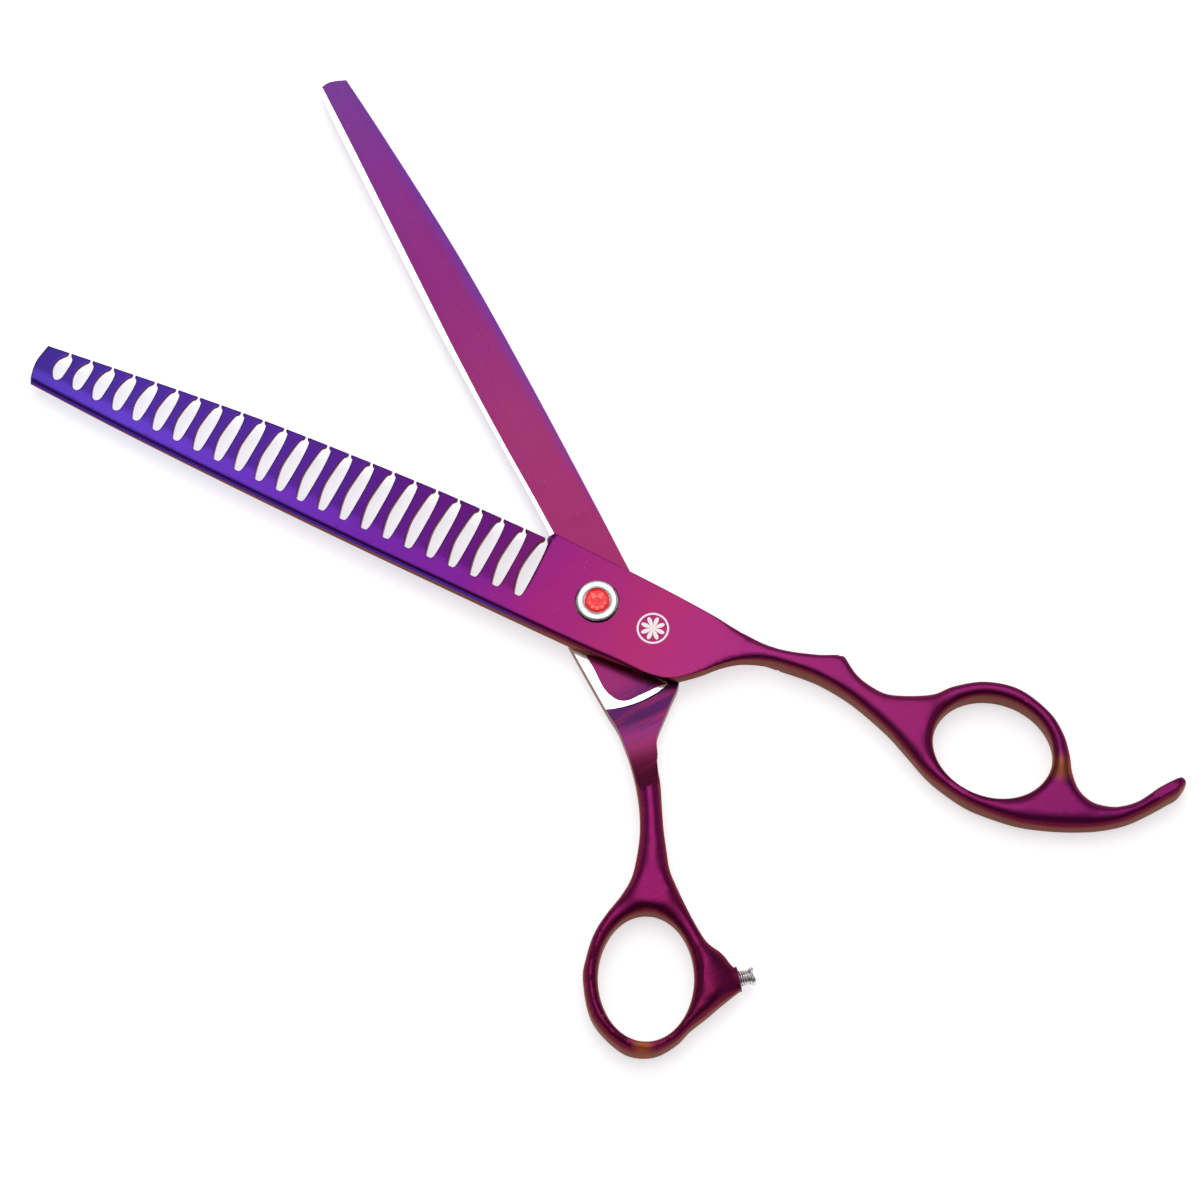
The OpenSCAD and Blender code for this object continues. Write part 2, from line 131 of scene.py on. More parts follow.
def cut_loops(node, height):
    """Closed outlines, in millimetres, where a level plane cuts a CAD node."""
    mesh = NODES[node].data
    mesh.calc_loop_triangles()
    co = np.empty(len(mesh.vertices) * 3, np.float32)
    mesh.vertices.foreach_get("co", co)
    places, same = np.unique(co.reshape(-1, 3), axis=0, return_inverse=True)
    tris = np.empty(len(mesh.loop_triangles) * 3, np.int32)
    mesh.loop_triangles.foreach_get("vertices", tris)
    tris = same.reshape(-1)[tris].reshape(-1, 3)
    level = places[:, 2] - height * MM
    links = {}
    above = (level[tris] > 0).sum(1)
    for tri in tris[(above > 0) & (above < 3)]:
        ends = []
        for a, b in ((0, 1), (1, 2), (2, 0)):
            i, j = sorted((int(tri[a]), int(tri[b])))
            if (level[i] > 0) != (level[j] > 0):
                ends.append((i, j))
        links.setdefault(ends[0], []).append(ends[1])
        links.setdefault(ends[1], []).append(ends[0])
    loops, used = [], set()
    for start in links:
        if start in used:
            continue
        loop, at = [], start
        while at is not None:
            used.add(at)
            i, j = at
            t = level[i] / (level[i] - level[j])
            loop.append((places[i] + t * (places[j] - places[i]))[:2] / MM)
            at = next((n for n in links[at] if n not in used), None)
        loops.append(np.array(loop, float))
    return loops


def area(loop):
    x, y = loop[:, 0], loop[:, 1]
    return 0.5 * float(np.sum(x * np.roll(y, -1) - y * np.roll(x, -1)))


def turned(points, degrees):
    c, s = math.cos(math.radians(degrees)), math.sin(math.radians(degrees))
    return points @ np.array([[c, s], [-s, c]])


def corners_only(loop, tolerance=0.004):
    """Drops the points that lie on a straight line between their neighbours."""
    keep = list(range(len(loop)))
    changed = True
    while changed:
        changed, kept = False, []
        pts = loop[keep]
        before, after = np.roll(pts, 1, 0), np.roll(pts, -1, 0)
        run = after - before
        off = np.abs(run[:, 0] * (pts - before)[:, 1] - run[:, 1] * (pts - before)[:, 0])
        off /= np.maximum(np.linalg.norm(run, axis=1), 1e-9)
        last_dropped = False
        for i, k in enumerate(keep):
            if off[i] < tolerance and not last_dropped:
                last_dropped = changed = True
            else:
                kept.append(k)
                last_dropped = False
        keep = kept
    return loop[keep]


def smoothed(loop, spacing, corner_degrees=32):
    """A closed curve through the points, round except at its corners, with points at about that spacing."""
    step = np.roll(loop, -1, 0) - loop
    length = np.linalg.norm(step, axis=1)
    heading = np.arctan2(step[:, 1], step[:, 0])
    turn = np.degrees(np.abs((heading - np.roll(heading, 1) + math.pi) % (2 * math.pi) - math.pi))
    sharp = turn > corner_degrees
    out = []
    n = len(loop)
    for i in range(n):
        a, b, c, d = (loop[(i + k) % n] for k in (-1, 0, 1, 2))
        la, lb, lc = length[i - 1], length[i], length[(i + 1) % n]
        chord = (c - b) / lb
        into = chord if sharp[i] else ((b - a) / la * lb + chord * la) / (la + lb)
        leave = chord if sharp[(i + 1) % n] else (chord * lc + (d - c) / lc * lb) / (lb + lc)
        pieces = max(1, int(round(lb / spacing)))
        for k in range(pieces):
            t = k / pieces
            h1, h2 = 2 * t ** 3 - 3 * t ** 2 + 1, t ** 3 - 2 * t ** 2 + t
            h3, h4 = -2 * t ** 3 + 3 * t ** 2, t ** 3 - t ** 2
            out.append(h1 * b + h2 * lb * into + h3 * c + h4 * lb * leave)
    return np.array(out)


# ---- plane geometry ----


def distance_to(points, starts, ends):
    """Distance from each point to the nearest of some segments."""
    out = np.empty(len(points))
    run = ends - starts
    square = np.maximum((run ** 2).sum(1), 1e-12)
    for k in range(0, len(points), 2000):
        p = points[k:k + 2000, None, :] - starts[None]
        t = np.clip((p * run).sum(2) / square, 0, 1)
        out[k:k + 2000] = np.sqrt(((p - t[..., None] * run) ** 2).sum(2).min(1))
    return out


def inside(points, loops):
    """True where a point lies in the outline, holes left out."""
    hits = np.zeros(len(points), int)
    for loop in loops:
        a, b = loop, np.roll(loop, -1, 0)
        for k in range(0, len(points), 4000):
            p = points[k:k + 4000]
            x, y = p[:, 0:1], p[:, 1:2]
            spans = (a[:, 1] > y) != (b[:, 1] > y)
            rise = np.where(b[:, 1] == a[:, 1], 1e-12, b[:, 1] - a[:, 1])
            cross = a[:, 0] + (y - a[:, 1]) / rise * (b[:, 0] - a[:, 0])
            hits[k:k + 4000] += (spans & (x < cross)).sum(1)
    return hits % 2 == 1


def smoothstep(x, lo, hi):
    t = np.clip((x - lo) / (hi - lo), 0, 1)
    return t * t * (3 - 2 * t)


def loop_normals(loop):
    """Unit normals that point into the metal."""
    run = np.roll(loop, -1, 0) - np.roll(loop, 1, 0)
    run /= np.maximum(np.linalg.norm(run, axis=1, keepdims=True), 1e-9)
    return np.stack([-run[:, 1], run[:, 0]], 1)


def thinned(points, gap):
    """Drops points that share a small square with an earlier one."""
    _, first = np.unique(np.round(points / gap).astype(int), axis=0, return_index=True)
    return points[np.sort(first)]


def arc_lines(radii, loops, sweep=(95, 265), step=0.35):
    """Stretches of circles about the pivot that lie in the metal, as lists of points."""
    lines = []
    for radius in radii:
        count = int(math.radians(sweep[1] - sweep[0]) * radius / step)
        angle = np.radians(np.linspace(sweep[0], sweep[1], count))
        ring = radius * np.stack([np.cos(angle), np.sin(angle)], 1)
        within = inside(ring, loops)
        runs = np.split(np.arange(count), np.where(np.diff(within.astype(int)) != 0)[0] + 1)
        lines += [ring[r] for r in runs if within[r[0]] and len(r) > 2]
    return lines


class Net:
    """A triangle net over an outline, with rings of points that follow its edges.

    Lines are chains of points that stay edges. Dense is a closer spacing and a test for where it holds.
    Open_end is a test for the stretch of outline where the section isn't rounded down.
    """

    def __init__(self, loops, lines, dense, open_end=lambda at: np.zeros(len(at), bool)):
        self.loops = loops
        self.starts = np.concatenate(loops)
        self.ends = np.concatenate([np.roll(loop, -1, 0) for loop in loops])
        lined = np.array([p for line in lines for p in line])
        rest = np.concatenate([self.ring_points(), self.grid_points(NET_GRID, OFFSETS[-1] * 1.15),
                               self.grid_points(dense[0], 0.2, dense[1])])
        clear = distance_to(rest, lined[:-1], lined[:-1] + 1e-6) > 0.12
        rest = thinned(rest[clear], 0.08)
        self.triangulate(np.concatenate([self.starts, lined, rest]), lines)
        self.rim = self.find_rim()
        shut = ~open_end((self.starts + self.ends) / 2)
        self.depth = distance_to(self.points, self.starts[shut], self.ends[shut])
        self.fixed = np.unique(self.rim)
        self.fixed = self.fixed[~open_end(self.points[self.fixed])]
        self.depth[self.fixed] = 0

    def ring_points(self):
        """Points in rows that follow the outline, at each of the offsets."""
        normals = np.concatenate([loop_normals(loop) for loop in self.loops])
        rings = []
        for offset in OFFSETS:
            ring = self.starts + normals * offset
            far = distance_to(ring, self.starts, self.ends)
            ring = ring[(far > 0.97 * offset) & inside(ring, self.loops)]
            rings.append(thinned(ring, max(0.1, 0.45 * offset)))
        return np.concatenate(rings)

    def grid_points(self, spacing, margin, part=None):
        """Points of a triangular grid that lie at least a margin inside the outline."""
        lo, hi = self.starts.min(0), self.starts.max(0)
        xs = np.arange(lo[0], hi[0], spacing)
        ys = np.arange(lo[1], hi[1], spacing * 0.866)
        grid = np.stack(np.meshgrid(xs, ys), -1)
        grid[1::2, :, 0] += spacing / 2
        grid = grid.reshape(-1, 2)
        if part is not None:
            grid = grid[part(grid)]
        grid = grid[inside(grid, self.loops)]
        return grid[distance_to(grid, self.starts, self.ends) > margin]

    def triangulate(self, places, lines):
        """Triangles over the places, with the outline and the lines as edges."""
        edges, at = [], 0
        for loop in self.loops:
            edges += [(at + i, at + (i + 1) % len(loop)) for i in range(len(loop))]
            at += len(loop)
        for line in lines:
            edges += [(at + i, at + i + 1) for i in range(len(line) - 1)]
            at += len(line)
        made = delaunay_2d_cdt([Vector(v) for v in places], edges, [], 0, 1e-5)
        points = np.array([tuple(v) for v in made[0]])
        faces = np.array([f for f in made[2] if len(f) == 3])
        faces = faces[inside(points[faces].mean(1), self.loops)]
        a, b, c = points[faces[:, 0]], points[faces[:, 1]], points[faces[:, 2]]
        turn = (b - a)[:, 0] * (c - a)[:, 1] - (b - a)[:, 1] * (c - a)[:, 0]
        faces[turn < 0] = faces[turn < 0][:, ::-1]
        used = np.unique(faces)
        renumber = np.full(len(points), -1)
        renumber[used] = np.arange(len(used))
        self.points = points[used]
        self.faces = renumber[faces]

    def find_rim(self):
        """Directed edges along the outline, in the faces' own direction."""
        sides = np.concatenate([self.faces[:, [0, 1]], self.faces[:, [1, 2]], self.faces[:, [2, 0]]])
        seen = {tuple(s) for s in sides}
        return np.array([s for s in sides if (s[1], s[0]) not in seen])

    def near(self, points, chosen):
        """Distance to the stretches of outline whose starts satisfy a test on place and outward normal."""
        out = -np.concatenate([loop_normals(loop) for loop in self.loops])
        take = chosen(self.starts, out)
        return distance_to(points, self.starts[take], self.ends[take])

    def fullness(self):
        """0 at the outline and 1 in the middle of the metal, like the square of a round section's height.

        Solves for the height of a skin under even pressure by conjugate gradients, then scales it by the
        metal's half width, which is spread from where it is known.
        """
        p, f = self.points, self.faces
        n = len(p)
        rows, cols, weights = [], [], []
        mass = np.zeros(n)
        for i, j, k in ((0, 1, 2), (1, 2, 0), (2, 0, 1)):
            u, v = p[f[:, j]] - p[f[:, i]], p[f[:, k]] - p[f[:, i]]
            cross = np.abs(u[:, 0] * v[:, 1] - u[:, 1] * v[:, 0])
            cot = 0.5 * (u * v).sum(1) / np.maximum(cross, 1e-9)
            rows += [f[:, j], f[:, k]]
            cols += [f[:, k], f[:, j]]
            weights += [cot, cot]
            mass += np.bincount(f[:, i], cross / 6, n)
        rows, cols, weights = map(np.concatenate, (rows, cols, weights))
        diagonal = np.bincount(rows, weights, n)
        free = np.ones(n)
        free[self.fixed] = 0

        def apply(x):
            return free * (diagonal * x - np.bincount(rows, weights * x[cols], n))

        phi = np.zeros(n)
        rest = mass * free
        scaled = rest / diagonal
        way = scaled.copy()
        energy = rest @ scaled
        for _ in range(1500):
            moved = apply(way)
            step = energy / (way @ moved)
            phi += step * way
            rest = rest - step * moved
            scaled = rest / diagonal
            fresh = rest @ scaled
            if fresh < 1e-9 * mass.sum():
                break
            way = scaled + fresh / energy * way
            energy = fresh
        deep = np.maximum(self.depth, 1e-6)
        half_width = np.where(self.depth > 0.02, phi / deep + self.depth / 2, 0)
        counts = np.bincount(rows, minlength=n)
        known = half_width > 0
        for _ in range(140):
            total = np.bincount(rows, (half_width * known)[cols], n)
            many = np.bincount(rows, known[cols].astype(float), n)
            average = total / np.maximum(many, 1)
            half_width = np.where(known, 0.5 * half_width + 0.5 * average, average)
            known = many > 0
        return np.clip(2 * phi / np.maximum(half_width, 0.2) ** 2, 0, 1)


def dome(fullness, power):
    """Height of a forged section as a share of its rise: 0 at the side, 1 on top. Power 1 is an ellipse."""
    return np.sqrt(1 - (1 - fullness) ** power)


# ---- shapes of the two halves ----


def taper(x):
    """How much thinner a plate is at x."""
    return (PLATE_T - TIP_T) * np.clip((x - TAPER_X) / (REACH - TAPER_X), 0, 1)


def hollow(points, middle_y):
    """Depth of the hollow grind in an inner face."""
    deep = HOLLOW - (points[:, 1] - middle_y) ** 2 / (2 * WHEEL_R)
    return np.maximum(deep, 0) * smoothstep(points[:, 0], *HOLLOW_X)


def ramp_height(radius, rise):
    """Height over an inner face behind the pivot: ride area, small relief, then a concave ramp."""
    full = rise - RAMP_STEP + RELIEF
    wheel = ((RAMP_R1 - RAMP_R0) ** 2 + full ** 2) / (2 * full)
    along = np.clip(radius - RAMP_R0, 0, RAMP_R1 - RAMP_R0)
    climb = wheel - np.sqrt(wheel ** 2 - along ** 2)
    return climb - RELIEF * smoothstep(radius, RIDE_R, RIDE_R + RELIEF)


STUD = JOINTS["stud_turn"]
STUD_AT = turned(np.array([STUD["pos_m"][:2]]) / MM, -PLAIN_TURN)[0]
STUD_WAY = turned(np.array([STUD["axis"][:2]]), -PLAIN_TURN)[0]


def stud_place():
    """Puts a shape drawn about z in the stop stud's place."""
    way = Vector(STUD["axis"]).normalized()
    return Matrix.Translation(Vector(STUD["pos_m"])) @ way.to_track_quat("Z", "Y").to_matrix().to_4x4()


def before_boss_end(points):
    """Distance back from the boss's end face, along the stop stud."""
    return (STUD_AT - points) @ STUD_WAY


def aside_of_stud(points):
    return np.abs((points - STUD_AT) @ np.array([-STUD_WAY[1], STUD_WAY[0]]))


def boss_end(points):
    """True on the boss's flat end face."""
    return (np.abs(before_boss_end(points)) < 0.12) & (aside_of_stud(points) < BOSS_HALF)


def in_stud_hole(points):
    """True on the walls of the CAD's stud hole, which is left out of the outline and bored later."""
    return (np.abs(before_boss_end(points)) < STUD_HOLE_DEEP + 0.3) & (aside_of_stud(points) < 1.7)


def tooth_grind(points):
    """How far the toothed blade is ground down, from the slots' bottoms to the tooth tips."""
    hinge_y = np.interp(points[:, 0], [TOOTH_ROOT_X, REACH + 1], GRIND_Y)
    beyond = hinge_y + GRIND_EASE / 2 - points[:, 1]
    eased = np.maximum(beyond, 0) ** 2 / (2 * GRIND_EASE)
    fall = TOOTH_FALL * np.where(beyond > GRIND_EASE, beyond - GRIND_EASE / 2, eased)
    return fall * smoothstep(points[:, 0], TOOTH_ROOT_X - 1.5, TOOTH_ROOT_X + 0.2)


def forged_share(points):
    """0 on the blade's plate and 1 on the forged handle."""
    return smoothstep(np.linalg.norm(points, axis=1), *FORGED) * (points[:, 0] < 0)


def forged_bulge(net, power):
    """Half height of a forged handle's rounded section."""
    return WAIST_BAND + (WAIST - WAIST_BAND) * dome(net.fullness(), power)


def outer_rounding(net, spine_side):
    """How far a plate's outer face falls at its rounded edges and along its spine's bevel."""
    p = net.points
    missing = np.maximum(EDGE_ROUND - net.depth, 0)
    edge = EDGE_ROUND - np.sqrt(np.maximum(EDGE_ROUND ** 2 - missing ** 2, 0))
    to_spine = net.near(p, lambda at, out: (out[:, 1] * spine_side > 0.5) & (at[:, 0] > -16)
                        & (at[:, 1] * spine_side > 2))
    width = SPINE_BEVEL * smoothstep(p[:, 0], *BEVEL_X)
    bevel = BEVEL_SLOPE * np.maximum(width - to_spine, 0) ** 2 / SPINE_BEVEL
    return np.maximum(edge, bevel)


def comb_heights(net):
    """Outer and inner height of the toothed half's points, measured from the table."""
    p = net.points
    radius = np.linalg.norm(p, axis=1)
    shank, ring, rest = COMB_POWERS
    power = shank + (ring - shank) * smoothstep(radius, *COMB_RING)
    power += (rest - ring) * smoothstep(radius, *COMB_REST)
    bulge = forged_bulge(net, power)
    plate = TOP - taper(p[:, 0]) - outer_rounding(net, 1) - tooth_grind(p)
    outer = plate + (WAIST + bulge - plate) * forged_share(p)
    ramp = np.maximum(COMB_IN - ramp_height(radius, COMB_IN), WAIST - bulge)
    handle = np.where(radius >= RAMP_R1, WAIST - bulge, ramp)
    inner = np.where(p[:, 0] < HANDLE_X, handle, COMB_IN + hollow(p, COMB_HOLLOW_Y))
    return outer, inner


def plain_heights(net):
    """Outer and inner height of the straight half's points. Its outer face looks down at the table."""
    p = net.points
    radius = np.linalg.norm(p, axis=1)
    shank, ring = PLAIN_POWERS
    power = shank + (ring - shank) * smoothstep(radius, *PLAIN_RING)
    slim = 1 - BOSS_SLIM * (1 - smoothstep(before_boss_end(p), *BOSS_X)) * (radius > PLAIN_RING[1] - 2)
    bulge = slim * forged_bulge(net, power)
    thin = taper(p[:, 0])
    plate = PLAIN_OUT + thin + outer_rounding(net, -1)
    to_edge = net.near(p, lambda at, out: (out[:, 1] > 0.5) & (at[:, 0] > 8))
    left = HONE_SHARE + (1 - HONE_SHARE) * np.clip(to_edge / HONE_W, 0, 1)
    honed = PLAIN_IN - (PLATE_T - thin) * left
    plate = np.where(p[:, 0] > 4, np.maximum(plate, honed), plate)
    plate -= PLAIN_OUT * smoothstep(radius, *OUTER_DROP) * (p[:, 0] < 0)
    outer = plate + (WAIST - bulge - plate) * forged_share(p)
    ramp = np.minimum(PLAIN_IN + ramp_height(radius, TOP - PLAIN_IN), WAIST + bulge)
    handle = np.where(radius >= RAMP_R1, WAIST + bulge, ramp)
    inner = np.where(p[:, 0] < HANDLE_X, handle, PLAIN_IN - hollow(p, PLAIN_HOLLOW_Y))
    return outer, inner


# ---- the two halves ----


def mesh_piece(name, verts, faces):
    mesh = bpy.data.meshes.new(name)
    mesh.from_pydata([tuple(v) for v in verts], [], faces)
    mesh.validate()
    obj = bpy.data.objects.new(name, mesh)
    bpy.context.scene.collection.objects.link(obj)
    return obj


def solid(name, net, high, low, turn, slots_of):
    """Closed mesh between an upper and a lower height field, turned to its place."""
    n = len(net.points)
    flat = turned(net.points, turn)
    top = np.column_stack([flat, high]) * MM
    bottom = np.column_stack([flat, low]) * MM
    a, b = net.rim[:, 0], net.rim[:, 1]
    walls = np.column_stack([b, a, a + n, b + n])
    faces = [tuple(f) for f in net.faces] + [tuple(f + n) for f in net.faces[:, ::-1]]
    faces += [tuple(w) for w in walls]
    mesh = bpy.data.meshes.new(name)
    mesh.from_pydata(np.concatenate([top, bottom]).tolist(), [], faces)
    index = np.concatenate([slots_of(net.points[net.faces].mean(1), True),
                            slots_of(net.points[net.faces].mean(1), False),
                            np.zeros(len(walls), int)])
    mesh.polygons.foreach_set("material_index", index.astype(np.int32))
    mesh.validate()
    mesh.update()
    obj = bpy.data.objects.new(name, mesh)
    bpy.context.scene.collection.objects.link(obj)
    return obj


def prism(name, points, z0, z1, turn=0):
    """Cutter with an upright outline."""
    flat = turned(np.array(points, float), turn)
    n = len(flat)
    verts = [(x * MM, y * MM, z * MM) for z in (z0, z1) for x, y in flat]
    faces = [tuple(range(n))[::-1], tuple(range(n, 2 * n))]
    faces += [(i, (i + 1) % n, (i + 1) % n + n, i + n) for i in range(n)]
    mesh = bpy.data.meshes.new(name)
    mesh.from_pydata(verts, [], faces)
    obj = bpy.data.objects.new(name, mesh)
    bpy.context.scene.collection.objects.link(obj)
    return obj


def circle(radius, count=128):
    return [(radius * math.cos(2 * math.pi * i / count), radius * math.sin(2 * math.pi * i / count))
            for i in range(count)]


def bored(obj, cutters):
    """Takes the cutters out of obj."""
    for cutter in cutters:
        cut = obj.modifiers.new("bore", "BOOLEAN")
        cut.operation = "DIFFERENCE"
        cut.solver = "EXACT"
        cut.object = cutter
        depsgraph = bpy.context.evaluated_depsgraph_get()
        made = bpy.data.meshes.new_from_object(obj.evaluated_get(depsgraph))
        obj.modifiers.clear()
        old = obj.data
        obj.data = made
        bpy.data.meshes.remove(old)
        bpy.data.objects.remove(cutter)


def shaded(obj, degrees):
    """Smooth shading with sharp edges above an angle."""
    obj.data.shade_smooth()
    obj.data.set_sharp_from_angle(angle=math.radians(degrees))


def read_outline(node, level, turn, spacing, healed=None):
    """The node's outer outline and its finger hole, in its half's own frame, without the points in healed."""
    loops = [turned(loop, -turn) for loop in cut_loops(node, level)]
    loops = [corners_only(loop) for loop in loops if abs(area(loop)) > 60]
    if healed:
        loops = [loop[~healed(loop)] for loop in loops]
    loops.sort(key=lambda loop: -abs(area(loop)))
    loops = [loop if (area(loop) > 0) == (i == 0) else loop[::-1] for i, loop in enumerate(loops)]
    return [smoothed(loop, spacing) for loop in loops]


def coating_line(x):
    """Where the straight blade's coating stops beside its bare cutting edge."""
    stops = np.array([(-5, 1.2), (10, 0.2), (24, -0.15), (35, -0.25), (46, -0.53), (57, -1.0), (68, -1.64),
                      (79, -2.28), (90, -2.92), (101, -3.57), (109, -3.97), (REACH + 1, -4.25)])
    return np.column_stack([x, np.interp(x, stops[:, 0], stops[:, 1])])


def comb_half():
    loops = read_outline("comb_blade", COMB_CUT, COMB_TURN, COMB_SPACING)
    shank = (0.6, lambda p: (p[:, 0] < -20) & (p[:, 0] > -42))
    net = Net(loops, arc_lines([RAMP_R0, RAMP_R1], loops), shank)
    outer, inner = comb_heights(net)
    obj = solid("comb_steel", net, outer, inner, COMB_TURN, lambda at, top: np.zeros(len(at), int))
    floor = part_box("head_washer")[0].z / MM
    neck = [(x, max(-NECK_HALF, min(NECK_HALF, y))) for x, y in circle(NECK_R)]
    bored(obj, [prism("head_bore", circle(node_radius("pivot_bolt") + HEAD_GAP), floor, TOP + 2),
                prism("neck_bore", neck, -1, TOP + 2, COMB_TURN)])
    return obj


# Outline of the coated field that the bare, polished ride area runs round
RIDE_FIELD = [(-3.2, 8.6), (-5.7, 6.45), (-9, 6.2), (-16, 5.95), (-17.4, 5.2), (-18.1, 4.2), (-18.5, 1),
              (-18.75, -3.3), (-19.2, -7), (-10, -12), (6, -12), (6, 2)]


def plain_half():
    loops = read_outline("plain_blade", PLAIN_CUT, PLAIN_TURN, PLAIN_SPACING, in_stud_hole)
    hone = coating_line(np.arange(8, REACH + 1, 0.5))
    hone = hone[inside(hone, loops)]
    ride_field = smoothed(np.array(RIDE_FIELD), 0.3, 40)
    arcs = arc_lines([RIDE_R, RIDE_R + RELIEF, RAMP_R0, RAMP_R1 - 0.05, RAMP_R1], loops)
    shank = (0.3, lambda p: (p[:, 0] < -17) & (p[:, 0] > -38))
    net = Net(loops, arcs + [hone, ride_field], shank, boss_end)
    outer, inner = plain_heights(net)

    def bare(at, top):
        """1 where the inner face is bare steel: along the cutting edge and round the ride area's field."""
        honed = (at[:, 0] > 3) & (at[:, 1] > coating_line(at[:, 0])[:, 1])
        rode = (np.linalg.norm(at, axis=1) < RIDE_R) & (at[:, 0] < -4) & ~inside(at, [ride_field])
        return ((honed | rode) & top).astype(int)

    obj = solid("plain_steel", net, inner, outer, PLAIN_TURN, bare)
    stud_bore = prism("stud_bore", circle(STUD_HOLE_R, 64), -STUD_HOLE_DEEP, 1.0)
    stud_bore.data.transform(stud_place())
    bored(obj, [prism("nut_bore", circle(node_radius("tension_nut") + NUT_GAP), -1,
                      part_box("pivot_bush")[0].z / MM),
                prism("bush_bore", circle(node_radius("pivot_bush")), -1, TOP),
                prism("slip_bore", circle(node_radius("blade_washer") + SLIP_GAP),
                      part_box("blade_washer")[0].z / MM, TOP),
                stud_bore])
    return obj


# ---- pivot and stud ----


def revolved(name, profile, around=96):
    """Closed piece turned about the pivot from a profile of radius and height that ends on the axis."""
    verts, faces = [], []
    for r, z in profile[1:-1]:
        for i in range(around):
            angle = 2 * math.pi * i / around
            verts.append((r * math.cos(angle) * MM, r * math.sin(angle) * MM, z * MM))
    rings = len(profile) - 2
    for k in range(rings - 1):
        for i in range(around):
            j = (i + 1) % around
            faces.append((k * around + i, k * around + j, (k + 1) * around + j, (k + 1) * around + i))
    ends = len(verts)
    verts += [(0, 0, profile[0][1] * MM), (0, 0, profile[-1][1] * MM)]
    last = (rings - 1) * around
    for i in range(around):
        j = (i + 1) % around
        faces.append((j, i, ends))
        faces.append((last + i, last + j, ends + 1))
    return mesh_piece(name, verts, faces)


def screw_head():
    """Pivot screw with a softly rounded head, a seat for the stone, and its shaft."""
    lo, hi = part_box("pivot_bolt")
    base, top = lo.z / MM, hi.z / MM
    head_r = node_radius("pivot_bolt")
    seat_r = node_radius("red_gem") + 0.03
    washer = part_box("head_washer")[1].z / MM
    thread_r, shaft_r, neck_r = 1.55, 2.0, 2.1
    thread_top, seat_deep = base + 1.3, 0.9
    crown = [(head_r * (0.84 + 0.16 * math.sin(t)), top - 0.4 * (1 - math.cos(t)))
             for t in np.radians(np.linspace(90, 0, 10))]
    profile = [(0, base), (thread_r, base), (thread_r, thread_top), (shaft_r, thread_top), (shaft_r, COMB_IN),
               (neck_r, COMB_IN), (neck_r, washer), (head_r - 0.1, washer), (head_r, washer + 0.1)] + crown
    profile += [(seat_r + 0.12, top), (seat_r, top - 0.1), (seat_r, top - seat_deep), (0, top - seat_deep)]
    return revolved("screw", profile)


def cut_gem():
    """Faceted stone: girdle, kite and star facets, and radial facets seen through the table."""
    lo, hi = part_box("red_gem")
    radius, base, top = node_radius("red_gem"), lo.z / MM, hi.z / MM
    sides = 10
    rings = [(radius, base, 0, 2 * sides), (radius, base + 0.4, 0, 2 * sides),
             (0.8 * radius, top - 0.1, 0.5, sides), (0.56 * radius, top, 0, sides)]
    verts, starts = [], []
    for r, z, phase, count in rings:
        starts.append(len(verts))
        for i in range(count):
            angle = 2 * math.pi * (i + phase) / count
            verts.append((r * math.cos(angle) * MM, r * math.sin(angle) * MM, z * MM))
    faces = [tuple(range(2 * sides))[::-1]]
    for i in range(2 * sides):
        j = (i + 1) % (2 * sides)
        faces.append((starts[0] + i, starts[0] + j, starts[1] + j, starts[1] + i))
    for i in range(sides):
        after, girdle = (i + 1) % sides, starts[1] + 2 * i
        mid, mid_before = starts[2] + i, starts[2] + (i - 1) % sides
        faces.append((girdle, girdle + 1, mid))
        faces.append((girdle + 1, starts[1] + (2 * i + 2) % (2 * sides), mid))
        faces.append((mid_before, girdle, mid, starts[3] + i))
        faces.append((starts[3] + i, mid, starts[3] + after))
    centre = len(verts)
    verts.append((0, 0, (top - 0.28) * MM))
    star, star_r = len(verts), 0.3 * radius
    for i in range(sides):
        angle = 2 * math.pi * (i + 0.5) / sides
        verts.append((star_r * math.cos(angle) * MM, star_r * math.sin(angle) * MM, (top - 0.12) * MM))
    for i in range(sides):
        after = (i + 1) % sides
        faces.append((starts[3] + i, starts[3] + after, star + i))
        faces.append((star + (i - 1) % sides, starts[3] + i, star + i))
        faces.append((star + (i - 1) % sides, star + i, centre))
    return mesh_piece("cut_gem", verts, faces)


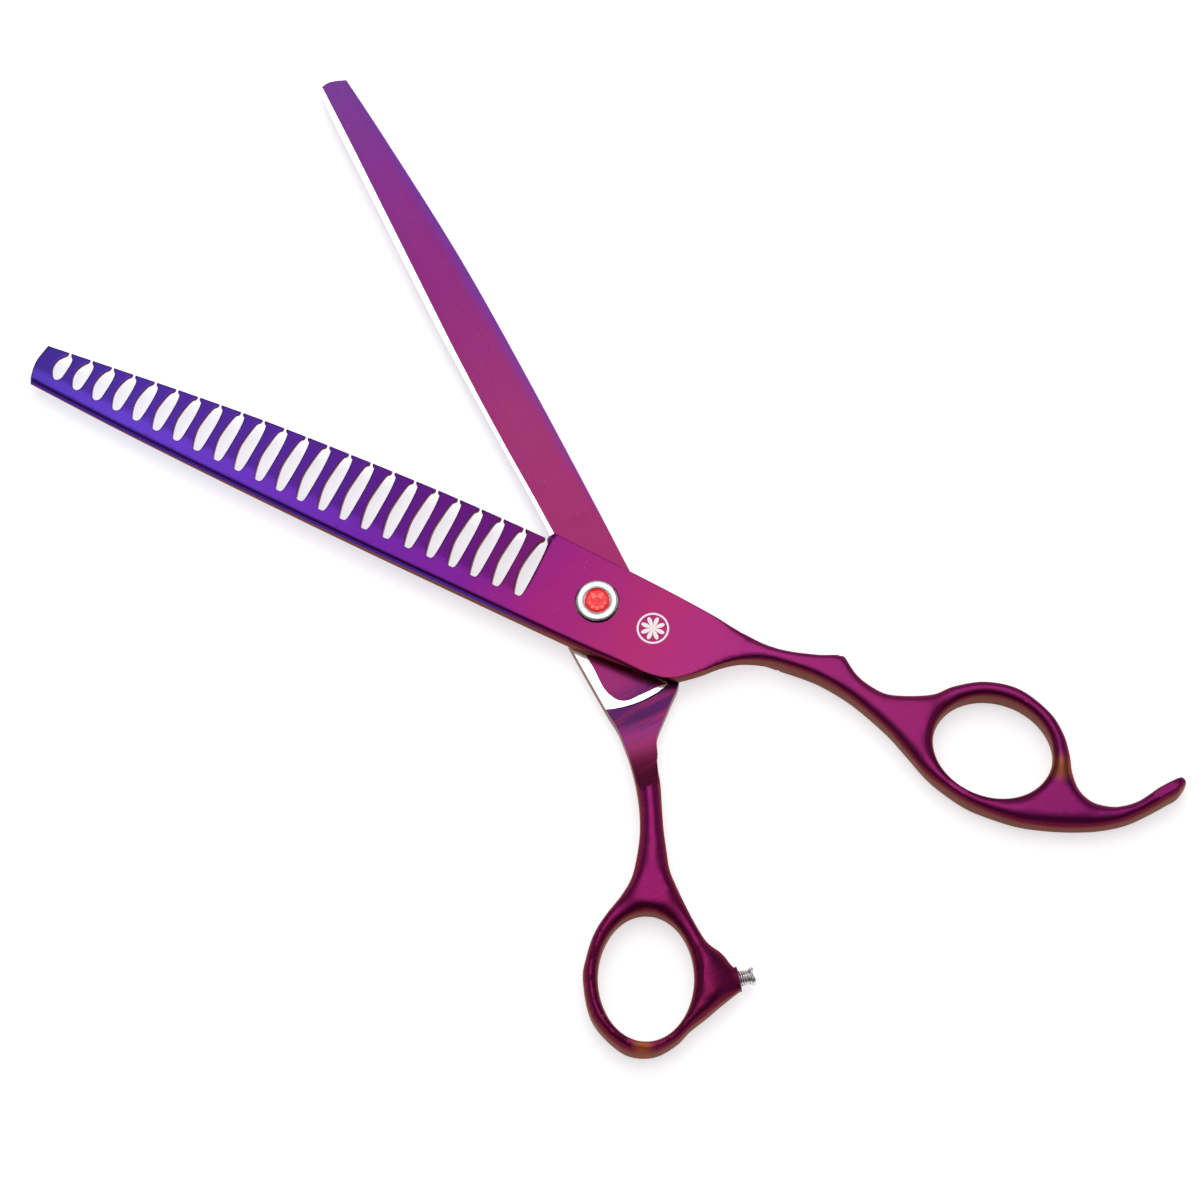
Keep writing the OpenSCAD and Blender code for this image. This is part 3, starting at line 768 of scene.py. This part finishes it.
def threaded_stud():
    """Bare end of the stop stud: a worn thread with a ragged, flared end."""
    rng = np.random.default_rng(7)
    core, pitch, crest = 1.3, 0.42, 0.2
    inside_len, out_len = 4.0, 2.9
    around, steps = 72, 130
    waves = [(rng.uniform(0.5, 1), int(rng.integers(2, 7)), rng.uniform(0, 6.3), rng.uniform(1, 4))
             for _ in range(6)]
    place = stud_place()
    verts, faces = [], []
    for k in range(steps + 1):
        z = -inside_len + (inside_len + out_len) * k / steps
        flare = 0.42 * smoothstep(np.array([z]), out_len - 0.9, out_len - 0.35)[0]
        for i in range(around):
            angle = 2 * math.pi * i / around
            turn = (z / pitch - i / around) % 1
            ridge = crest * (1 - abs(2 * turn - 1)) ** 0.8
            rag = sum(a * math.sin(n * angle + p + q * z) for a, n, p, q in waves) / len(waves)
            worn = 0.09 * rag if z > 0.1 else 0
            r = core + ridge * (1 - 1.2 * flare) + worn + flare + 0.3 * flare * rag
            lift = 0.22 * rag * max(0.0, z / out_len) ** 3
            verts.append(place @ Vector((r * math.cos(angle) * MM, r * math.sin(angle) * MM,
                                         min(z + lift - 0.16 * (z > 2), out_len) * MM)))
    for k in range(steps):
        for i in range(around):
            j = (i + 1) % around
            faces.append((k * around + i, k * around + j, (k + 1) * around + j, (k + 1) * around + i))
    faces.append(tuple(range(around))[::-1])
    hollow_end = len(verts)
    verts.append(place @ Vector((0, 0, (out_len - 0.5) * MM)))
    last = steps * around
    faces += [(last + i, last + (i + 1) % around, hollow_end) for i in range(around)]
    return mesh_piece("threaded_stud", verts, faces)


# ---- materials ----


def srgb(r, g, b):
    def linear(c):
        c /= 255
        return c / 12.92 if c <= 0.04045 else ((c + 0.055) / 1.055) ** 2.4
    return (linear(r), linear(g), linear(b), 1)


def coat(colour):
    """The coated metal's own colour for one seen under the main light and its halo."""
    return (*(c / (KEY_LIGHT + HALO_LIGHT) for c in srgb(*colour)[:3]), 1)


class Nodes:
    """Short ways to build a node material."""

    def __init__(self, name):
        self.material = bpy.data.materials.new(name)
        self.material.use_nodes = True
        self.tree = self.material.node_tree
        self.tree.nodes.clear()
        self.shader = self.add("ShaderNodeBsdfPrincipled")
        out = self.add("ShaderNodeOutputMaterial")
        self.link(self.shader.outputs["BSDF"], out.inputs["Surface"])

    def add(self, kind, **values):
        node = self.tree.nodes.new(kind)
        for key, value in values.items():
            setattr(node, key, value)
        return node

    def link(self, a, b):
        self.tree.links.new(a, b)

    def local(self, turn):
        """Object coordinates in millimetres in a half's own frame."""
        where = self.add("ShaderNodeTexCoord")
        mapping = self.add("ShaderNodeMapping")
        mapping.inputs["Rotation"].default_value = (0, 0, -math.radians(turn))
        mapping.inputs["Scale"].default_value = (1 / MM, 1 / MM, 1 / MM)
        self.link(where.outputs["Object"], mapping.inputs["Vector"])
        return mapping.outputs["Vector"]

    def math(self, operation, a, b=None):
        node = self.add("ShaderNodeMath", operation=operation)
        for socket, value in zip(node.inputs, (a, b)):
            if value is None:
                continue
            if isinstance(value, (int, float)):
                socket.default_value = value
            else:
                self.link(value, socket)
        return node.outputs[0]

    def eased(self, value, lo, hi):
        """0 at lo and 1 at hi, smooth between."""
        node = self.add("ShaderNodeMapRange", interpolation_type="SMOOTHSTEP")
        node.inputs["From Min"].default_value = lo
        node.inputs["From Max"].default_value = hi
        self.link(value, node.inputs["Value"])
        return node.outputs[0]

    def distance(self, vector, place):
        """Distance in the half's plane from a place."""
        node = self.add("ShaderNodeVectorMath", operation="MULTIPLY")
        node.inputs[1].default_value = (1, 1, 0)
        self.link(vector, node.inputs[0])
        gap = self.add("ShaderNodeVectorMath", operation="DISTANCE")
        gap.inputs[1].default_value = (*place, 0)
        self.link(node.outputs["Vector"], gap.inputs[0])
        return gap.outputs["Value"]

    def etched_rosette(self, vector, up, place, size=3.0):
        """A plain ring with eight petals, on faces that look up."""
        parts = self.add("ShaderNodeSeparateXYZ")
        self.link(vector, parts.inputs[0])
        gap = self.math("DIVIDE", self.distance(vector, place), size)
        angle = self.math("ARCTAN2", self.math("SUBTRACT", parts.outputs["Y"], place[1]),
                          self.math("SUBTRACT", parts.outputs["X"], place[0]))
        petal = self.math("ABSOLUTE", self.math("COSINE", self.math("MULTIPLY", angle, 4)))
        leaf = self.math("LESS_THAN", gap, self.math("MULTIPLY", self.math("POWER", petal, 0.6), 0.76))
        ring = self.math("LESS_THAN", self.math("ABSOLUTE", self.math("SUBTRACT", gap, 0.93)), 0.06)
        return self.math("MULTIPLY", self.math("MAXIMUM", leaf, ring), self.math("GREATER_THAN", up, 0.9))

    def noise(self, vector, scale, detail, rough=0.5, stretch=None):
        """Cloudy value between 0 and 1, stretched where a factor is small."""
        if stretch:
            mapping = self.add("ShaderNodeMapping")
            mapping.inputs["Scale"].default_value = stretch
            self.link(vector, mapping.inputs["Vector"])
            vector = mapping.outputs["Vector"]
        node = self.add("ShaderNodeTexNoise")
        node.inputs["Scale"].default_value = scale
        node.inputs["Detail"].default_value = detail
        node.inputs["Roughness"].default_value = rough
        self.link(vector, node.inputs["Vector"])
        return node.outputs["Fac"]

    def ramp(self, value, stops, lo, hi):
        """Colours at places between lo and hi."""
        scaled = self.add("ShaderNodeMapRange")
        scaled.inputs["From Min"].default_value = lo
        scaled.inputs["From Max"].default_value = hi
        self.link(value, scaled.inputs["Value"])
        node = self.add("ShaderNodeValToRGB")
        stops = sorted(stops)
        elements = node.color_ramp.elements
        while len(elements) < len(stops):
            elements.new(0.5)
        for element, (place, colour) in zip(elements, stops):
            element.position = (place - lo) / (hi - lo)
            element.color = coat(colour)
        self.link(scaled.outputs[0], node.inputs[0])
        return node.outputs["Color"]

    def mix(self, factor, a, b):
        node = self.add("ShaderNodeMix", data_type="RGBA")
        for socket, value in zip((node.inputs[0], node.inputs[6], node.inputs[7]), (factor, a, b)):
            if isinstance(value, (int, float, tuple)):
                socket.default_value = value
            else:
                self.link(value, socket)
        return node.outputs[2]

    def bump(self, height, strength, distance):
        node = self.add("ShaderNodeBump")
        node.inputs["Strength"].default_value = strength
        node.inputs["Distance"].default_value = distance
        self.link(height, node.inputs["Height"])
        self.link(node.outputs["Normal"], self.shader.inputs["Normal"])


# Colours along each half, by place on its x axis: the coating's own tones. On the toothed half the stops at x
# 95 and 112 are raised as a painted highlight.
COMB_TONES_AND_PAINTED_HIGHLIGHT = [(112, (92, 70, 205)), (95, (106, 72, 222)), (70, (108, 62, 204)), (45, (116, 46, 176)),
                (25, (132, 39, 152)), (8, (168, 43, 124)), (-12, (186, 54, 112)), (-30, (184, 54, 132)),
                (-60, (178, 48, 120)), (-100, (160, 40, 116))]
# On the straight half the dark stops from -19 to -22.5 and from -31 to -36.1 are painted shade, beside the
# ride area's relief and before the ramp's end.
PLAIN_TONES_AND_PAINTED_SHADE = [(112, (126, 70, 154)), (95, (140, 58, 146)), (70, (151, 52, 128)), (40, (168, 60, 115)),
                 (10, (170, 56, 106)), (-15, (160, 52, 112)), (-19, (92, 44, 96)), (-22.5, (84, 40, 86)),
                 (-25.5, (150, 60, 130)), (-28, (180, 66, 118)), (-31, (150, 44, 84)), (-36.1, (112, 36, 62)),
                 (-36.4, (180, 44, 132)), (-60, (170, 36, 108)), (-80, (150, 34, 88))]
COMB_GOLD = [((-90, -6), 3.6)]          # places and radii of the straw-coloured spots on the rings
PLAIN_GOLD = [((-77, 33), 2.6)]
CLOUD = (150, 40, 170)
# painted highlight: a brighter blue band along the straight half's spine
SPINE_HIGHLIGHT_BLUE = (104, 72, 186)
HANDLE_SIDE_SHADE = (140, 34, 70)             # painted shade where a handle rounds off
BLADE_SIDE_SHADE = (92, 50, 186)              # painted shade where a blade rounds off
WALL_REFLECTION_AND_SHADE = (146, 86, 80)                    # painted reflection tint and painted shade on upright walls
GOLD = (205, 120, 44)
# painted highlight: lighter streaks along the straight half's handle
HIGHLIGHT_STREAK = (205, 60, 100)
ETCHED = (250, 240, 242)
SPECK = (200, 170, 210)



def coating_along(m, local, x, y, colours):
    """Colours along a half, with the painted highlight and painted shade that the tables hold, measured round
    the pivot on the shank, with a slow drift and faint clouds.
    """
    drift = m.noise(local, 0.06, 2)
    from_pivot = m.math("POWER", m.math("ADD", m.math("POWER", x, 2), m.math("POWER", y, 2)), 0.5)
    past = m.math("MULTIPLY", m.eased(x, -10, -20), m.math("ADD", from_pivot, x))
    along = m.math("SUBTRACT", x, past)
    wander = m.math("MULTIPLY", m.eased(along, -45, 10), 14)
    shifted = m.math("ADD", along, m.math("MULTIPLY", m.math("SUBTRACT", drift, 0.5), wander))
    base = m.ramp(shifted, colours, -105, 115)
    cloud = m.noise(local, 0.25, 3)
    return m.mix(m.math("MULTIPLY", cloud, 0.16), base, coat(CLOUD))


def painted_side_shade_and_reflection(m, base, x, steep):
    """Painted shade, darker where the surface rounds off, and a brown painted reflection tint with painted
    shade on the upright walls.
    """
    side = m.mix(m.eased(x, 2, 20), coat(HANDLE_SIDE_SHADE), coat(BLADE_SIDE_SHADE))
    base = m.mix(m.eased(steep, 0.8, 0.5), base, side)
    return m.mix(m.eased(steep, 0.35, 0.1), base, coat(WALL_REFLECTION_AND_SHADE))


def coated_steel(name, turn, colours, gold_spots, painted_spine_highlight=None, highlight_streaks_from=None, rosette=None):
    """Forged steel with a thin violet to magenta coating."""
    m = Nodes(name)
    local = m.local(turn)
    split = m.add("ShaderNodeSeparateXYZ")
    m.link(local, split.inputs[0])
    x, y = split.outputs["X"], split.outputs["Y"]
    facing = m.add("ShaderNodeTexCoord")
    tilt = m.add("ShaderNodeSeparateXYZ")
    m.link(facing.outputs["Normal"], tilt.inputs[0])
    up = tilt.outputs["Z"]
    base = coating_along(m, local, x, y, colours)
    # painted highlight along the spine, where the face curves over
    if painted_spine_highlight:
        spine = m.math("ADD", y, m.math("MULTIPLY", m.noise(local, 0.12, 2), 1.5))
        share = m.math("MULTIPLY", m.math("MULTIPLY", m.eased(spine, *painted_spine_highlight), m.eased(x, 5, 20)), 0.55)
        base = m.mix(share, base, coat(SPINE_HIGHLIGHT_BLUE))
    # painted shade and painted reflection tint, set by how steep each face is
    base = painted_side_shade_and_reflection(m, base, x, m.math("ABSOLUTE", up))
    for place, reach in gold_spots:
        here = m.math("MULTIPLY", m.eased(m.distance(local, place), reach, 0.2 * reach), 0.7)
        base = m.mix(here, base, coat(GOLD))
    # painted highlight in long streaks on the handle
    if highlight_streaks_from:
        streak_highlight = m.noise(local, 0.7, 2, 0.5, (2.6, 0.16, 1.0))
        share = m.math("MULTIPLY", m.eased(streak_highlight, 0.45, 0.75), m.eased(x, *highlight_streaks_from))
        base = m.mix(m.math("MULTIPLY", share, 0.4), base, coat(HIGHLIGHT_STREAK))
    if rosette:
        base = m.mix(m.etched_rosette(local, up, rosette), base, coat(ETCHED))
    specks = m.eased(m.noise(local, 2.6, 1), 0.76, 0.82)
    base = m.mix(m.math("MULTIPLY", specks, 0.3), base, coat(SPECK))
    scratches = m.noise(local, 1.2, 2, 0.6, (0.06, 3.0, 1.0))
    m.link(base, m.shader.inputs["Base Color"])
    m.shader.inputs["Metallic"].default_value = 1
    m.shader.inputs["Specular Tint"].default_value = (0.8, 0.6, 0.55, 1)
    handle = m.math("MULTIPLY", m.eased(x, -20, -42), 0.1)
    rough = m.math("ADD", m.math("MULTIPLY", scratches, 0.1), m.math("ADD", handle, 0.22))
    m.link(rough, m.shader.inputs["Roughness"])
    m.bump(scratches, 0.05, 0.00002)
    return m.material


def bright_steel(name, rough, streak=(0.06, 3.0, 1.0), tone=(214, 214, 216)):
    """Bare steel, ground and polished."""
    m = Nodes(name)
    local = m.local(PLAIN_TURN)
    grain = m.noise(local, 1.5, 3, 0.6, streak)
    m.link(m.mix(grain, srgb(*tone), srgb(244, 243, 242)), m.shader.inputs["Base Color"])
    m.shader.inputs["Metallic"].default_value = 1
    m.link(m.math("ADD", m.math("MULTIPLY", grain, 0.12), rough), m.shader.inputs["Roughness"])
    m.bump(grain, 0.08, 0.00002)
    return m.material


def red_glass():
    """Clear red glass with a painted glow: it emits a little light, standing in for light that comes back out
    through the stone.
    """
    m = Nodes("red_glass")
    local = m.local(0)
    cloud = m.noise(local, 0.8, 2)
    m.link(m.mix(cloud, srgb(240, 24, 34), srgb(255, 84, 80)), m.shader.inputs["Base Color"])
    m.shader.inputs["Roughness"].default_value = 0.08
    m.shader.inputs["Metallic"].default_value = 0.4
    # painted glow: emission on a stone that is no lamp
    m.shader.inputs["Emission Color"].default_value = srgb(255, 40, 48)
    m.shader.inputs["Emission Strength"].default_value = 0.3
    m.shader.inputs["Coat Weight"].default_value = 1.0
    m.shader.inputs["Coat Roughness"].default_value = 0.03
    return m.material


def nylon():
    """Off-white, slightly cloudy plastic."""
    m = Nodes("nylon")
    local = m.local(0)
    cloud = m.noise(local, 2.0, 3)
    m.link(m.mix(cloud, srgb(214, 210, 200), srgb(236, 232, 222)), m.shader.inputs["Base Color"])
    m.link(m.math("ADD", m.math("MULTIPLY", cloud, 0.2), 0.4), m.shader.inputs["Roughness"])
    return m.material


def dress(obj, *materials):
    """Puts the materials in the object's slots and keeps which face uses which."""
    index = np.zeros(len(obj.data.polygons), np.int32)
    obj.data.polygons.foreach_get("material_index", index)
    obj.data.materials.clear()
    for material in materials:
        obj.data.materials.append(material)
    obj.data.polygons.foreach_set("material_index", np.minimum(index, len(materials) - 1))


# ---- stage and lights ----

VIEW_TILT = math.radians(18)            # the camera leans this far from straight down
VIEW_FAR = 1.3725
LENS = 224.4
SENSOR = 36
VIEW_AT = Vector((0.0008, 0, 0.0075))
FLOOR_SIZE = 6.0
FLOOR_DROP = 0.00002                    # the paper lies this far under the part


def white_paper():
    """Pale paper that glows a little, so that it stays white under soft shadows."""
    paper = Nodes("paper")
    paper.shader.inputs["Base Color"].default_value = (0.9, 0.9, 0.9, 1)
    paper.shader.inputs["Roughness"].default_value = 0.9
    paper.shader.inputs["Specular IOR Level"].default_value = 0.1
    paper.shader.inputs["Emission Color"].default_value = (1, 1, 1, 1)
    paper.shader.inputs["Emission Strength"].default_value = 0.6
    return paper.material


def area_light(name, place, target, size, power):
    data = bpy.data.lights.new(name, "AREA")
    data.shape = "RECTANGLE"
    data.size, data.size_y = size
    data.energy = power
    obj = bpy.data.objects.new(name, data)
    obj.location = place
    obj.rotation_mode = "QUATERNION"
    obj.rotation_quaternion = (Vector(target) - Vector(place)).to_track_quat("-Z", "Y")
    bpy.context.scene.collection.objects.link(obj)


def softbox(name, size, height, brightness):
    """Overhead light whose mirror image lies in the blades' flat faces for the camera."""
    power = brightness * math.pi * size[0] * size[1]
    aim = height * math.tan(VIEW_TILT)
    area_light(name, (0, aim, height), (0, aim, 0), size, power)


def side_panel(name, place, width, brightness):
    area_light(name, place, (0, 0, 0.1), (width, 0.9), brightness * math.pi * width * 0.9)


# ---- assembly ----

polished = bright_steel("polished_steel", 0.12)
comb = comb_half()
comb_coating = coated_steel("comb_coating", COMB_TURN, COMB_TONES_AND_PAINTED_HIGHLIGHT, COMB_GOLD, rosette=(-11.4, 0.5))
dress(comb, comb_coating, polished)
shaded(comb, 34)
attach(comb, "comb_half")
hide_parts("comb_blade")

plain = plain_half()
plain_coating = coated_steel("plain_coating", PLAIN_TURN, PLAIN_TONES_AND_PAINTED_SHADE, PLAIN_GOLD, (-7.0, -10.0), (-14, -18))
dress(plain, plain_coating, polished)
shaded(plain, 34)
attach(plain, "plain_half")
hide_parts("plain_blade")

gem = cut_gem()
dress(gem, red_glass())
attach(gem, "comb_half")
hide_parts("red_gem")

stud_piece = threaded_stud()
dress(stud_piece, bright_steel("stud_metal", 0.22, (1.0, 1.0, 1.0), (196, 196, 200)))
shaded(stud_piece, 50)
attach(stud_piece, "stud")
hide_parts("stop_stud")

white_nylon = nylon()
for node in ("head_washer", "pivot_bush", "blade_washer"):
    dress(NODES[node], white_nylon)
screw = screw_head()
dress(screw, polished)
shaded(screw, 40)
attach(screw, "comb_half")
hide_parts("pivot_bolt")

for node in ("thrust_washer", "spring_washer", "tension_nut"):
    dress(NODES[node], polished)

half = FLOOR_SIZE / 2
corners = [(-half, -half), (half, -half), (half, half), (-half, half)]
floor = mesh_piece("floor", [(x, y, -FLOOR_DROP) for x, y in corners], [(0, 1, 2, 3)])
dress(floor, white_paper())

softbox("key", (0.62, 0.75), 1.0, KEY_LIGHT)
softbox("halo", (1.9, 2.1), 1.15, HALO_LIGHT)
side_panel("back_panel", (0, 1.6, 0.5), 2.4, 0.5)
side_panel("left_panel", (-1.5, 0.2, 0.5), 1.6, 0.35)
side_panel("right_panel", (1.5, 0.2, 0.5), 1.6, 0.35)
world = bpy.data.worlds.new("studio")
world.use_nodes = True
world.node_tree.nodes["Background"].inputs["Color"].default_value = (0.12, 0.11, 0.11, 1)
bpy.context.scene.world = world

camera_data = bpy.data.cameras.new("camera")
camera_data.lens = LENS
camera_data.sensor_width = SENSOR
camera = bpy.data.objects.new("camera", camera_data)
camera.location = VIEW_AT + VIEW_FAR * Vector((0, -math.sin(VIEW_TILT), math.cos(VIEW_TILT)))
camera.rotation_euler = (VIEW_TILT, 0, 0)
bpy.context.scene.collection.objects.link(camera)
bpy.context.scene.camera = camera
bpy.context.scene.view_settings.view_transform = "Standard"
